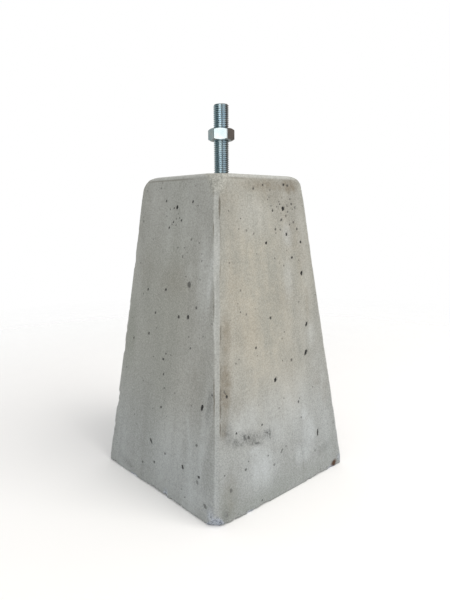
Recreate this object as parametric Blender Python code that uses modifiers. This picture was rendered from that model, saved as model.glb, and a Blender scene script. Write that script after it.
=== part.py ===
"""Tapered concrete column base block with a cast-in threaded rod and a levelling nut.

The frame has +Z up and its origin at the middle of the underside. The block's faces look along X and Y.
All sizes are in metres and angles in degrees.
"""

import math

import bmesh
import bpy
from mathutils import Vector

# The cast block
BLOCK_HEIGHT = 0.400
FOOT_WIDTH = 0.240
TOP_WIDTH = 0.150
FOOT_CHAMFER = 0.0045  # leg of the chamfer down each upright edge, at the foot
TOP_CHAMFER = 0.0064  # the same leg just under the rounded upper corners
CHAMFER_BULGE = 0.25  # how far that chamfer swells towards a full round, from 0 to 1
CHAMFER_STEPS = 3
# How much more that leg grows in each rounded upper corner, and over what height under the top face. The
# corners are +X+Y, -X+Y, -X-Y and +X-Y, and each is worn in its own way
CORNER_GROWTH = ((0.0200, 0.0145), (0.0200, 0.0175), (0.0280, 0.0175), (0.0120, 0.0210))
TOP_ROUND = 0.0040  # radius along the edges of the top face
TOP_ROUND_STEPS = 3
CORNER_LEVELS = (0.0210, 0.0160, 0.0120, 0.0085, 0.0060, TOP_ROUND)  # sections, down from the top face
FOOT_ROUND = 0.0020  # worn edge round the underside

# Air pits in the two faces that the photograph shows, and like ones in the others
PIT_STEPS = 1  # subdivision of each pit's ball
PIT_DEPTH_SHARE = 0.55  # reach of a pit's ball into the face, as a share of the pit's width
PIT_LIFT = 0.22  # how far outside the face that ball's centre is, as a share of its reach
PITS = {
    # face: (across the face from its middle, up from the foot, width, height), each in metres
    "-Y": (
        (0.039, 0.271, 0.0065, 0.0070),
        (0.079, 0.132, 0.0040, 0.0075),
        (0.005, 0.362, 0.0040, 0.0045),
        (0.041, 0.232, 0.0045, 0.0050),
        (0.023, 0.230, 0.0040, 0.0040),
        (0.097, 0.020, 0.0060, 0.0050),
    ),
    "+X": (
        (0.058, 0.171, 0.0060, 0.0085),
        (0.063, 0.208, 0.0045, 0.0060),
        (-0.004, 0.148, 0.0050, 0.0060),
        (0.033, 0.359, 0.0045, 0.0045),
        (0.061, 0.276, 0.0042, 0.0055),
        (0.071, 0.058, 0.0040, 0.0090),
    ),
    "+Y": (
        (-0.031, 0.305, 0.0050, 0.0050),
        (0.046, 0.188, 0.0060, 0.0070),
        (-0.062, 0.096, 0.0050, 0.0045),
    ),
    "-X": (
        (0.022, 0.334, 0.0045, 0.0050),
        (-0.055, 0.224, 0.0055, 0.0060),
        (0.067, 0.121, 0.0060, 0.0055),
    ),
}

# The flat break at the foot's +X, -Y corner: how far it reaches along the foot's -Y edge, along its +X edge
# and up the corner, from where the two faces would meet
FLAT_BREAK = (0.0185, 0.0165, 0.0185)
BREAK_SLAB = 0.0600  # side of the cube that takes it off

# Pieces broken off two other corners: corner signs in X and Y, then how far the break reaches along and up
CHIPS = (
    (1, 1, 0.0070, 0.0060),
    (-1, 1, 0.0060, 0.0080),
)
CHIP_OVERHANG = 0.35  # how far outside the corner a chip's ball sits, as a share of its reach
CHIP_DROP = 0.0015  # how far under the foot that ball's centre is

# The cast-in threaded rod: metric coarse thread, 20 mm
ROD_DIAMETER = 0.0200
ROD_STAND_OUT = 0.0920  # above the block's top
ROD_EMBEDDED = 0.1580  # below it, hidden in the concrete
ROD_TIP_CHAMFER = 0.0015
THREAD_PITCH = 0.0025
THREAD_CREST = THREAD_PITCH / 8
THREAD_FLANK_ANGLE = 30.0
THREAD_DEPTH = 0.6134 * THREAD_PITCH
THREAD_BELOW_TOP = 0.0060  # the modelled thread starts this far down in the concrete
ROUND_STEPS = 16  # sides of the rod, of the hole that holds it and of the nut's bore

# The levelling nut
NUT_WALL = 0.0050  # from the thread's crests out to the flats
NUT_HEIGHT = 0.0150
ROD_ABOVE_NUT = 0.0302  # how much of the rod stands out above the nut
NUT_FACE_DIRECTION = -45.0  # one flat looks this way, towards the corner of the block
NUT_FACE_MARGIN = 0.0009  # from the flats in to the flat ring that the chamfers leave at each end
NUT_CHAMFER_ANGLE = 30.0
NUT_CHAMFER_STEPS = 36
NUT_COUNTERSINK = 0.0006

# Clearances
CAST_GAP = 0.0003  # between the rod and the concrete round it
NUT_GAP = 0.0003  # between the thread's crests and the nut's bore
CUT_MARGIN = 0.0050  # how far a cutter stands out of what it cuts
GROOVE_MARGIN = 0.0006  # how far the thread's cutter stands out of the crests

# What follows from them
ROD_RADIUS = ROD_DIAMETER / 2
ROD_TIP = BLOCK_HEIGHT + ROD_STAND_OUT
ROD_BOTTOM = BLOCK_HEIGHT - ROD_EMBEDDED
NUT_TOP = ROD_TIP - ROD_ABOVE_NUT
NUT_UNDERSIDE = NUT_TOP - NUT_HEIGHT
NUT_FLAT_RADIUS = ROD_RADIUS + NUT_WALL
NUT_CORNER_RADIUS = NUT_FLAT_RADIUS / math.cos(math.radians(30))


def clear_scene():
    for obj in list(bpy.data.objects):
        bpy.data.objects.remove(obj)


def new_collection(name):
    collection = bpy.data.collections.new(name)
    bpy.context.scene.collection.children.link(collection)
    return collection


def make_material(name, colour, roughness, metallic):
    material = bpy.data.materials.new(name)
    material.use_nodes = True
    material.diffuse_color = (*colour, 1.0)
    shader = material.node_tree.nodes["Principled BSDF"]
    shader.inputs["Base Color"].default_value = (*colour, 1.0)
    shader.inputs["Roughness"].default_value = roughness
    shader.inputs["Metallic"].default_value = metallic
    return material


def object_from(bm, name, collection, material=None):
    mesh = bpy.data.meshes.new(name)
    bm.to_mesh(mesh)
    bm.free()
    if material is not None:
        mesh.materials.append(material)
    obj = bpy.data.objects.new(name, mesh)
    collection.objects.link(obj)
    return obj


def as_cutter(obj):
    obj.hide_render = True
    obj.display_type = "WIRE"
    return obj


def boolean(obj, cutter, operation):
    modifier = obj.modifiers.new(f"{operation.lower()} {cutter.name}", "BOOLEAN")
    modifier.operation = operation
    modifier.solver = "EXACT"
    modifier.object = cutter


def turned(name, profile, steps, collection, material=None, pitch=0.0, turns=1, closed=False):
    """A profile of (radius, height) points, run down its outer side, turned about Z, or wound along it."""
    bm = bmesh.new()
    points = [bm.verts.new((radius, 0, height)) for radius, height in profile]
    for a, b in zip(points, points[1:]):
        bm.edges.new((a, b))
    if closed:
        bm.edges.new((points[-1], points[0]))
    obj = object_from(bm, name, collection, material)
    screw = obj.modifiers.new("turn", "SCREW")
    screw.steps = steps
    screw.render_steps = steps
    screw.screw_offset = pitch
    screw.iterations = turns
    screw.use_merge_vertices = pitch == 0.0
    screw.merge_threshold = 0.0001
    return obj


def half_width(height):
    """Half the block's width across its flats, on the straight taper."""
    return (FOOT_WIDTH + (TOP_WIDTH - FOOT_WIDTH) * height / BLOCK_HEIGHT) / 2


def chamfer_leg(height, corner):
    """Leg of one corner's chamfer: a straight taper, then a quarter ellipse outwards under the top face."""
    straight = FOOT_CHAMFER + (TOP_CHAMFER - FOOT_CHAMFER) * height / BLOCK_HEIGHT
    growth, span = CORNER_GROWTH[corner]
    climb = max(0.0, 1 - (BLOCK_HEIGHT - height) / span)
    return straight + growth * (1 - math.sqrt(1 - climb**2))


def section(height, inset=0.0):
    """The block's outline at one height, as points anticlockwise seen from above."""
    half = half_width(height) - inset
    outline = []
    for quarter in range(4):
        leg = chamfer_leg(height, quarter)
        turn = math.radians(90 * quarter)
        cos, sin = round(math.cos(turn)), round(math.sin(turn))
        for step in range(CHAMFER_STEPS + 1):
            share = step / CHAMFER_STEPS
            swell = CHAMFER_BULGE * leg * (2 - math.sqrt(2)) * share * (1 - share) * 2
            x, y = half - leg * share + swell, half - leg * (1 - share) + swell
            outline.append(Vector((x * cos - y * sin, x * sin + y * cos, height)))
    return outline


def block_levels():
    """(height, inset) of each section, from the underside to the top face."""
    levels = [(0.0, FOOT_ROUND), (FOOT_ROUND, 0.0)]
    levels += [(BLOCK_HEIGHT - under, 0.0) for under in CORNER_LEVELS]
    for step in range(1, TOP_ROUND_STEPS + 1):
        angle = math.radians(90 * step / TOP_ROUND_STEPS)
        levels.append((BLOCK_HEIGHT - TOP_ROUND * (1 - math.sin(angle)), TOP_ROUND * (1 - math.cos(angle))))
    return levels


def build_block(parts, cutters, material):
    """The taper is a loft between unlike sections, because the corners' chamfers don't follow the width."""
    bm = bmesh.new()
    rings = [[bm.verts.new(point) for point in section(*level)] for level in block_levels()]
    for lower, upper in zip(rings, rings[1:]):
        for i in range(len(lower)):
            j = (i + 1) % len(lower)
            bm.faces.new((lower[i], lower[j], upper[j], upper[i]))
    bm.faces.new(rings[0][::-1])
    bm.faces.new(rings[-1])
    block = object_from(bm, "concrete_block", parts, material)
    boolean(block, rod_hole(cutters), "DIFFERENCE")
    boolean(block, pit_balls(cutters), "DIFFERENCE")
    boolean(block, flat_break(cutters), "DIFFERENCE")
    boolean(block, chip_balls(cutters), "DIFFERENCE")
    return block


def rod_hole(cutters):
    """The hole in the concrete that the rod fills, with its casting gap."""
    bottom = ROD_BOTTOM - CAST_GAP
    top = BLOCK_HEIGHT + CUT_MARGIN
    radius = ROD_RADIUS + CAST_GAP
    profile = [(0, top), (radius, top), (radius, bottom), (0, bottom)]
    return as_cutter(turned("rod_hole_cutter", profile, ROUND_STEPS, cutters))


def add_ball(bm, centre, reach, subdivisions):
    made = bmesh.ops.create_icosphere(bm, subdivisions=subdivisions, radius=1.0)
    bmesh.ops.scale(bm, vec=reach, verts=made["verts"])
    bmesh.ops.translate(bm, vec=centre, verts=made["verts"])


def pit_balls(cutters):
    """One flattened ball for each air pit, set a little outside the sloping face."""
    bm = bmesh.new()
    faces = {"-Y": -90, "+X": 0, "+Y": 90, "-X": 180}
    for face, pits in PITS.items():
        turn = math.radians(faces[face])
        outward = Vector((round(math.cos(turn)), round(math.sin(turn)), 0))
        along = Vector((-outward.y, outward.x, 0))
        for across, up, width, height in pits:
            depth = width * PIT_DEPTH_SHARE
            centre = outward * (half_width(up) + depth * PIT_LIFT) + along * across + Vector((0, 0, up))
            reach = Vector((depth * abs(outward.x) + width / 2 * abs(along.x),
                            depth * abs(outward.y) + width / 2 * abs(along.y), height / 2))
            add_ball(bm, centre, reach, PIT_STEPS + 1)
    return as_cutter(object_from(bm, "pit_cutter", cutters))


def flat_break(cutters):
    """A cube whose inner side is the break, through one point on each of the three edges at the corner."""
    along_x, along_y, up = FLAT_BREAK
    half = FOOT_WIDTH / 2
    first = Vector((half - along_x, -half, 0))
    second = Vector((half, along_y - half, 0))
    third = Vector((half_width(up), -half_width(up), up))
    outward = (second - first).cross(third - first).normalized()
    bm = bmesh.new()
    bmesh.ops.create_cube(bm, size=BREAK_SLAB)
    bmesh.ops.transform(bm, matrix=outward.to_track_quat("Z", "Y").to_matrix().to_4x4(), verts=bm.verts)
    middle = (first + second + third) / 3 + outward * BREAK_SLAB / 2
    bmesh.ops.translate(bm, vec=middle, verts=bm.verts)
    return as_cutter(object_from(bm, "flat_break_cutter", cutters))


def chip_balls(cutters):
    """A ball at each broken corner of the foot, set a little outside it."""
    bm = bmesh.new()
    for side_x, side_y, reach, rise in CHIPS:
        offset = FOOT_WIDTH / 2 + reach * CHIP_OVERHANG
        centre = Vector((side_x * offset, side_y * offset, -CHIP_DROP))
        add_ball(bm, centre, Vector((reach, reach, rise)), PIT_STEPS + 1)
    return as_cutter(object_from(bm, "chip_cutter", cutters))


def build_rod(parts, cutters, material):
    """A round bar with a chamfered tip, and the thread cut out of its upper part."""
    shoulder = ROD_TIP - ROD_TIP_CHAMFER
    profile = [
        (0, ROD_TIP), (ROD_RADIUS - ROD_TIP_CHAMFER, ROD_TIP), (ROD_RADIUS, shoulder),
        (ROD_RADIUS, ROD_BOTTOM), (0, ROD_BOTTOM),
    ]
    rod = turned("threaded_rod", profile, ROUND_STEPS, parts, material)
    boolean(rod, thread_groove(cutters), "DIFFERENCE")
    return rod


def thread_groove(cutters):
    """The thread's V groove, wound round Z with closed ends, half a step off the rod's own edges."""
    root = ROD_RADIUS - THREAD_DEPTH
    slope = math.tan(math.radians(THREAD_FLANK_ANGLE))
    half_outer = (THREAD_PITCH - THREAD_CREST) / 2 + GROOVE_MARGIN * slope
    half_root = (THREAD_PITCH - THREAD_CREST) / 2 - THREAD_DEPTH * slope
    outer = ROD_RADIUS + GROOVE_MARGIN
    start = BLOCK_HEIGHT - THREAD_BELOW_TOP
    turns = math.ceil((ROD_STAND_OUT + THREAD_BELOW_TOP) / THREAD_PITCH) + 1
    profile = [
        (outer, start + half_outer), (outer, start - half_outer),
        (root, start - half_root), (root, start + half_root),
    ]
    wound = turned("groove_guide", profile, ROUND_STEPS, cutters, None, THREAD_PITCH, turns, True)
    graph = bpy.context.evaluated_depsgraph_get()
    bm = bmesh.new()
    bm.from_mesh(bpy.data.meshes.new_from_object(wound.evaluated_get(graph)))
    bpy.data.objects.remove(wound)
    bmesh.ops.remove_doubles(bm, verts=bm.verts, dist=1e-6)
    bmesh.ops.holes_fill(bm, edges=bm.edges, sides=len(profile))
    bmesh.ops.recalc_face_normals(bm, faces=bm.faces)
    cutter = as_cutter(object_from(bm, "groove_cutter", cutters))
    cutter.rotation_euler.z = math.radians(180 / ROUND_STEPS)
    return cutter


def build_nut(parts, cutters, material):
    """A hexagonal bar, trimmed by a cone at each end and bored through."""
    corner = NUT_CORNER_RADIUS
    bm = bmesh.new()
    bmesh.ops.create_cone(bm, cap_ends=True, segments=6, radius1=corner, radius2=corner, depth=NUT_HEIGHT)
    bmesh.ops.translate(bm, vec=(0, 0, NUT_HEIGHT / 2), verts=bm.verts)
    nut = object_from(bm, "hex_nut", parts, material)
    nut.location.z = NUT_UNDERSIDE
    nut.rotation_euler.z = math.radians(NUT_FACE_DIRECTION + 30 + 90)
    boolean(nut, nut_envelope(cutters), "INTERSECT")
    boolean(nut, nut_bore(cutters), "DIFFERENCE")
    return nut


def nut_envelope(cutters):
    """What the two chamfering cones leave: they start at the washer faces and run out past the corners."""
    low, high = NUT_UNDERSIDE, NUT_TOP
    face = NUT_FLAT_RADIUS - NUT_FACE_MARGIN
    outer = NUT_CORNER_RADIUS + CUT_MARGIN
    fall = (outer - face) * math.tan(math.radians(NUT_CHAMFER_ANGLE))
    profile = [(0, high), (face, high), (outer, high - fall), (outer, low + fall), (face, low), (0, low)]
    return as_cutter(turned("nut_envelope_cutter", profile, NUT_CHAMFER_STEPS, cutters))


def nut_bore(cutters):
    """The bore clears the thread's crests, and flares into a countersink at both ends."""
    low, high = NUT_UNDERSIDE, NUT_TOP
    bore = ROD_RADIUS + NUT_GAP
    sink = NUT_COUNTERSINK
    flare = bore + sink + CUT_MARGIN
    profile = [
        (0, high + CUT_MARGIN), (flare, high + CUT_MARGIN), (bore, high - sink),
        (bore, low + sink), (flare, low - CUT_MARGIN), (0, low - CUT_MARGIN),
    ]
    return as_cutter(turned("nut_bore_cutter", profile, ROUND_STEPS, cutters))


def shade_round(obj, angle):
    obj.data.shade_smooth()
    obj.data.set_sharp_from_angle(angle=math.radians(angle))


def main():
    clear_scene()
    parts = new_collection("column_base_block")
    cutters = new_collection("cutters")
    concrete = make_material("concrete", (0.52, 0.51, 0.47), 0.85, 0.0)
    zinc = make_material("zinc_plated_steel", (0.60, 0.63, 0.65), 0.32, 0.95)
    build_block(parts, cutters, concrete)
    rod = build_rod(parts, cutters, zinc)
    nut = build_nut(parts, cutters, zinc)
    shade_round(rod, 40)
    shade_round(nut, 25)


main()
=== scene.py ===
import itertools
import math

import bpy
import numpy as np
from mathutils import Matrix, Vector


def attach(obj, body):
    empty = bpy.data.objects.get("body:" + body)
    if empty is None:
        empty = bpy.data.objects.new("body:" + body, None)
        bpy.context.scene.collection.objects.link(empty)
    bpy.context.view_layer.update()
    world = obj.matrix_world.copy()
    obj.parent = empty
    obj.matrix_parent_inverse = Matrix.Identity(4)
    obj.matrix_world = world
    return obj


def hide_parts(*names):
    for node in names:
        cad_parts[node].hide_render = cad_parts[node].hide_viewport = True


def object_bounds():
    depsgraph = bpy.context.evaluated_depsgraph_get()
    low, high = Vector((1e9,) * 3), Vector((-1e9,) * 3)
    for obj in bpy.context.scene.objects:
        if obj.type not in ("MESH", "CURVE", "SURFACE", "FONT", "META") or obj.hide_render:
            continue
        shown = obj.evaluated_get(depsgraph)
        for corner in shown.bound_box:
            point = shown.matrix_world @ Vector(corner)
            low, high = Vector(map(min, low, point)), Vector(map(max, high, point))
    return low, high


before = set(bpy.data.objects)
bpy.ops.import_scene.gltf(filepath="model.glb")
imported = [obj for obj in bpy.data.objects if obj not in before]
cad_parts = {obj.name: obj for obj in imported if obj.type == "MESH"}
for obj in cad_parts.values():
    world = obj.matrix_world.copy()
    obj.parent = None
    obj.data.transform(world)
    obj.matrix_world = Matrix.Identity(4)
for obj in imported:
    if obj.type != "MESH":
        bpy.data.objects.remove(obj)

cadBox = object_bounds()


# Noise and grids

def latticeNoise(points, cell, seed):
    # every corner of a cubic lattice has its own random height from -1 to 1, and a point blends the eight
    # heights round it by f * f * (3 - 2f), where f is how far it is across its cell
    heights = np.random.default_rng(seed).random(4096) * 2 - 1
    place = points / cell
    corner = np.floor(place).astype(np.int64)
    across = place - corner
    across = across * across * (3 - 2 * across)
    total = np.zeros(points.shape[:-1])
    for step in itertools.product((0, 1), repeat=3):
        pick = (corner + step) * np.array([73856093, 19349663, 83492791])
        pick = (pick[..., 0] ^ pick[..., 1] ^ pick[..., 2]) % 4096
        total += np.where(step, across, 1 - across).prod(axis=-1) * heights[pick]
    return total


def layeredNoise(points, cell, seed, layers=3):
    # a sum of noises, each with half the cell and half the height of the one before
    return sum(latticeNoise(points, cell / 2**layer, seed + layer) / 2**layer for layer in range(layers))


def easeBetween(value, low, high):
    # 0 below low, 1 above high, and t * t * (3 - 2t) between them
    t = np.clip((value - low) / (high - low), 0, 1)
    return t * t * (3 - 2 * t)


def makePiece(name, grid, finish, looped=False, marks=None, sharpAngle=None):
    # grid holds rows of points, each row closed round its columns. Looped rows join the last row to the
    # first; otherwise each end row closes on a pole at its own middle. Every four neighbours make one face
    rows, columns = grid.shape[:2]
    number = np.arange(rows * columns).reshape(rows, columns)
    beside = np.roll(number, -1, axis=1)
    points = grid.reshape(-1, 3)
    values = {key: np.asarray(value, float).ravel() for key, value in (marks or {}).items()}
    if looped:
        corners = np.stack([number, beside, np.roll(beside, -1, 0), np.roll(number, -1, 0)], -1).reshape(-1)
        sides = np.full(rows * columns, 4)
    else:
        quads = np.stack([number[:-1], beside[:-1], beside[1:], number[1:]], -1).reshape(-1)
        low, high = np.full(columns, rows * columns), np.full(columns, rows * columns + 1)
        under = np.stack([low, beside[0], number[0]], -1).reshape(-1)
        over = np.stack([high, number[-1], beside[-1]], -1).reshape(-1)
        corners = np.concatenate([quads, under, over])
        sides = np.concatenate([np.full((rows - 1) * columns, 4), np.full(2 * columns, 3)])
        points = np.concatenate([points, [grid[0].mean(0), grid[-1].mean(0)]])
        values = {key: np.append(value, [value[0], value[-1]]) for key, value in values.items()}
    mesh = bpy.data.meshes.new(name)
    mesh.vertices.add(len(points))
    mesh.vertices.foreach_set("co", points.astype(np.float32).ravel())
    mesh.loops.add(len(corners))
    mesh.loops.foreach_set("vertex_index", corners.astype(np.int32))
    mesh.polygons.add(len(sides))
    mesh.polygons.foreach_set("loop_start", (np.cumsum(sides) - sides).astype(np.int32))
    mesh.update(calc_edges=True)
    for key, value in values.items():
        mesh.attributes.new(key, "FLOAT", "POINT").data.foreach_set("value", value.astype(np.float32))
    mesh.shade_smooth()
    if sharpAngle:
        mesh.set_sharp_from_angle(angle=math.radians(sharpAngle))
    mesh.materials.append(finish)
    piece = bpy.data.objects.new(name, mesh)
    bpy.context.scene.collection.objects.link(piece)
    print(name, "made,", int((sides - 2).sum()), "triangles")
    return piece


# Finishes

class Signal:
    # a node's output that takes part in arithmetic: each operator adds the Math node that does it
    def __init__(self, tree, socket):
        self.tree = tree
        self.socket = socket

    def node(self, kind, settings, inputs, output=0):
        # settings come first, then each input gets a value or a link
        made = self.tree.nodes.new(kind)
        for key, value in settings.items():
            setattr(made, key, value)
        for key, value in inputs.items():
            if isinstance(value, Signal):
                self.tree.links.new(value.socket, made.inputs[key])
            else:
                made.inputs[key].default_value = value
        return Signal(self.tree, made.outputs[output])

    def math(self, operation, *values):
        return self.node("ShaderNodeMath", {"operation": operation}, dict(enumerate(values)))

    def __add__(self, other):
        return self.math("ADD", self, other)

    def __sub__(self, other):
        return self.math("SUBTRACT", self, other)

    def __rsub__(self, other):
        return self.math("SUBTRACT", other, self)

    def __mul__(self, other):
        return self.math("MULTIPLY", self, other)

    __radd__ = __add__
    __rmul__ = __mul__

    def clamped(self):
        return self.node("ShaderNodeClamp", {}, {"Value": self})

    def eased(self, low, high):
        # 0 below low, 1 above high, smooth between
        settings = {"interpolation_type": "SMOOTHSTEP"}
        return self.node("ShaderNodeMapRange", settings, {"Value": self, "From Min": low, "From Max": high})

    def noise(self, scale, detail=3.0, roughness=0.55):
        inputs = {"Vector": self, "Scale": scale, "Detail": detail, "Roughness": roughness}
        return self.node("ShaderNodeTexNoise", {}, inputs)

    def stretched(self, x, y, z):
        return self.node("ShaderNodeMapping", {}, {"Vector": self, "Scale": (x, y, z)})

    def attribute(self, name):
        return self.node("ShaderNodeAttribute", {"attribute_name": name}, {}, "Fac")

    def tint(self, below, above):
        # a colour from below at 0 to above at 1
        return self.node("ShaderNodeMix", {"data_type": "RGBA"}, {0: self, 6: below, 7: above}, 2)


def colour(red, green, blue):
    return (red, green, blue, 1.0)


def newFinish(name, metallic, roughness):
    material = bpy.data.materials.new(name)
    material.use_nodes = True
    shader = material.node_tree.nodes["Principled BSDF"]
    shader.inputs["Metallic"].default_value = metallic
    shader.inputs["Roughness"].default_value = roughness
    place = Signal(material.node_tree, None).node("ShaderNodeTexCoord", {}, {}, "Object")
    return material, shader, place


def feed(shader, signal, name):
    signal.tree.links.new(signal.socket, shader.inputs[name])


concreteTones = {
    "grey": colour(0.272, 0.273, 0.252),
    "lightGrey": colour(0.350, 0.354, 0.333),
    "beige": colour(0.420, 0.388, 0.322),
    # the worn edge tone, also a painted highlight on the near edge and the rounded top edge
    "wornEdge": colour(0.425, 0.433, 0.413),
    # the lit and the shaded speckles of fresh breaks: a painted highlight tone and a painted shadow tone
    "freshBreak": colour(0.44, 0.46, 0.50),
    "freshShadow": colour(0.16, 0.17, 0.19),
    "roughDark": colour(0.255, 0.255, 0.230),
    "roughPale": colour(0.415, 0.415, 0.375),
    "bloom": colour(0.450, 0.460, 0.446),
    "crevice": colour(0.165, 0.155, 0.130),
    "brownStain": colour(0.180, 0.155, 0.115),
    "greySmear": colour(0.115, 0.118, 0.112),
    "damp": colour(0.262, 0.270, 0.244),
    "rust": colour(0.075, 0.040, 0.025),
    # painted shade in pits and pinholes
    "pitDirt": colour(0.030, 0.030, 0.030),
    "footTint": colour(0.950, 0.985, 1.040),
}


def concreteFinish(tones):
    material, shader, place = newFinish("castConcrete", 0.0, 0.85)
    shader.inputs["Specular IOR Level"].default_value = 0.37
    tall = place.stretched(1.0, 1.0, 0.32)  # clouds and streaks run down the faces
    cloud = tall.noise(17.0, 4.0, 0.60)
    streak = place.stretched(1.0, 1.0, 0.10).noise(70.0, 3.0, 0.60)
    blot = place.noise(55.0, 4.0, 0.62)
    ragged = place.noise(120.0, 5.0, 0.70)
    speck = place.noise(260.0, 4.0, 0.70)
    grain = place.noise(560.0, 3.0, 0.75)
    # pinholes: the balls round random points that the surface happens to cut, kept in some cells only
    cells = {"Vector": place, "Scale": 150.0}
    distance = place.node("ShaderNodeTexVoronoi", {}, cells, "Distance")
    lot = place.node("ShaderNodeTexVoronoi", {}, cells, "Color")
    lot = lot.node("ShaderNodeSeparateColor", {}, {"Color": lot}, "Red")
    porous = place.attribute("porous")
    edgeWearAndHighlight = place.attribute("worn")
    chosen = (lot + porous * 0.30 - edgeWearAndHighlight).eased(0.86, 0.97)
    pinhole = (0.20 - distance).eased(0.0, 0.10) * chosen
    # pits: the attribute falls evenly from a pit's middle, and is half at its ragged rim
    pit = (place.attribute("pit") + ragged * 0.5 - 0.25).eased(0.40, 0.62) * place.attribute("pitDark")
    # tone: grey to lighter grey by the clouds, beige where the warm marks are
    tone = (cloud * 0.50 + blot * 0.26 + streak * 0.30 + speck * 0.34 - 0.265).eased(0.22, 0.66)
    shade = tone.tint(tones["grey"], tones["lightGrey"])
    warm = (place.attribute("warm") * (0.65 + cloud * 0.55)).clamped()
    shade = warm.tint(shade, (tone * 0.8 + 0.2).tint(tones["damp"], tones["beige"]))
    damp = (place.attribute("damp") * (0.4 + blot)).clamped()
    shade = damp.tint(shade, tones["damp"])
    bloom = (place.attribute("bloom") * (streak * 1.5 + speck * 0.9 + cloud * 0.6 - 0.85)).clamped()
    shade = bloom.tint(shade, tones["bloom"])
    stain = (place.attribute("stain") * (ragged * 1.6 + cloud * 0.7 - 0.55)).clamped()
    shade = stain.tint(shade, tones["brownStain"])
    # worn edges: partly real wear, partly a painted highlight on the near edge and the rounded top edge
    worn = (edgeWearAndHighlight * (blot * 1.0 + speck * 1.4 - 0.32)).clamped()
    shade = worn.tint(shade, tones["wornEdge"])
    smear = (place.attribute("smear") * (speck * 4.2 + ragged * 1.0 - 1.95)).clamped()
    shade = smear.tint(shade, tones["greySmear"])
    # darker lines: the one under the top edge, and the dirt in the ones beside the near edge's chamfer, which
    # wander
    wander = ragged * 1.6 - 0.8
    toRight = (place.attribute("fromRight") - 0.5 + wander) * 0.85
    toRight = toRight * (1.3 - place.attribute("lineRight") * 0.3)
    toLeft = (place.attribute("fromLeft") - 0.6 + wander) * 1.0
    besides = place.attribute("lineRight") * (1 - toRight * toRight).clamped()
    besides = besides + place.attribute("lineLeft") * (1 - toLeft * toLeft).clamped()
    line = ((place.attribute("line") + besides) * (speck * 1.6 + ragged * 0.8 - 0.30)).clamped()
    shade = line.tint(shade, tones["crevice"])
    rough = place.attribute("rough")
    sandy = (speck * 0.7 + grain * 0.3).eased(0.36, 0.62)
    shade = rough.tint(shade, sandy.tint(tones["roughDark"], tones["roughPale"]))
    # fresh breaks: bluish broken stone, speckled between a painted highlight tone and a painted shadow tone
    fresh = (place.attribute("fresh") * (ragged * 2.4 - 0.35)).clamped()
    broken = (speck * 0.6 + grain * 0.4).eased(0.38, 0.58)
    shade = fresh.tint(shade, broken.tint(tones["freshShadow"], tones["freshBreak"]))
    rust = (place.attribute("rust") * (ragged * 2.0 - 0.3)).clamped()
    shade = rust.tint(shade, tones["rust"])
    # grains of sand: a little darker and lighter from point to point
    dust = (grain.eased(0.30, 0.70) * 0.5 + 0.25)
    shade = shade.node(
        "ShaderNodeMix", {"data_type": "RGBA", "blend_type": "SOFT_LIGHT"},
        {0: 0.50, 6: shade, 7: dust.tint(colour(0, 0, 0), colour(1, 1, 1))}, 2,
    )
    # a slightly bluer tone towards the foot
    low = 1 - place.node("ShaderNodeSeparateXYZ", {}, {0: place}, "Z").eased(0.03, 0.20)
    shade = shade.node(
        "ShaderNodeMix", {"data_type": "RGBA", "blend_type": "MULTIPLY"},
        {0: low, 6: shade, 7: tones["footTint"]}, 2,
    )
    # painted shade: pits and pinholes are darkened in the colour, where shade falls in them
    hollow = (pit + pinhole * 0.50).clamped()
    shade = hollow.tint(shade, tones["pitDirt"])
    feed(shader, shade, "Base Color")
    feed(shader, 0.80 + blot * 0.14 - worn * 0.05, "Roughness")
    height = grain * 0.4 + speck * 0.5 + ragged * 0.5 + blot * 0.8 - pinhole * 3.0 + speck * rough * 1.6
    bump = place.node("ShaderNodeBump", {}, {"Strength": 0.7, "Distance": 0.0006, "Height": height}, "Normal")
    feed(shader, bump, "Normal")
    return material


nutTones = {
    "bright": colour(0.53, 0.56, 0.58),
    "blue": colour(0.43, 0.50, 0.53),
    "straw": colour(0.53, 0.52, 0.49),
    "grime": colour(0.20, 0.20, 0.19),
}

rodTones = {
    "bright": colour(0.64, 0.755, 0.81),
    "blue": colour(0.52, 0.67, 0.765),
    "straw": colour(0.675, 0.715, 0.70),
    "grime": colour(0.20, 0.21, 0.21),
}


def zincFinish(name, tones, grimeAndShadeWord, grimeAndShadeShare, roughness):
    # bright plating with faint blue and straw clouds, and a darker tone in the places that the attribute
    # names: grime and painted shade
    material, shader, place = newFinish(name, 1.0, roughness)
    cloud = place.noise(95.0, 3.0, 0.60)
    fine = place.noise(700.0, 3.0, 0.65)
    shade = cloud.eased(0.35, 0.62).tint(tones["bright"], tones["blue"])
    shade = place.noise(160.0, 2.0).eased(0.60, 0.80).tint(shade, tones["straw"])
    grime = (place.attribute(grimeAndShadeWord) * (fine * 0.3 + grimeAndShadeShare)).clamped()
    shade = grime.tint(shade, tones["grime"])
    feed(shader, shade, "Base Color")
    feed(shader, roughness + fine * 0.08 + grime * 0.2, "Roughness")
    relief = {"Strength": 0.2, "Distance": 0.0001, "Height": fine + cloud}
    bump = place.node("ShaderNodeBump", {}, relief, "Normal")
    feed(shader, bump, "Normal")
    return material


# The concrete block

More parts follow.
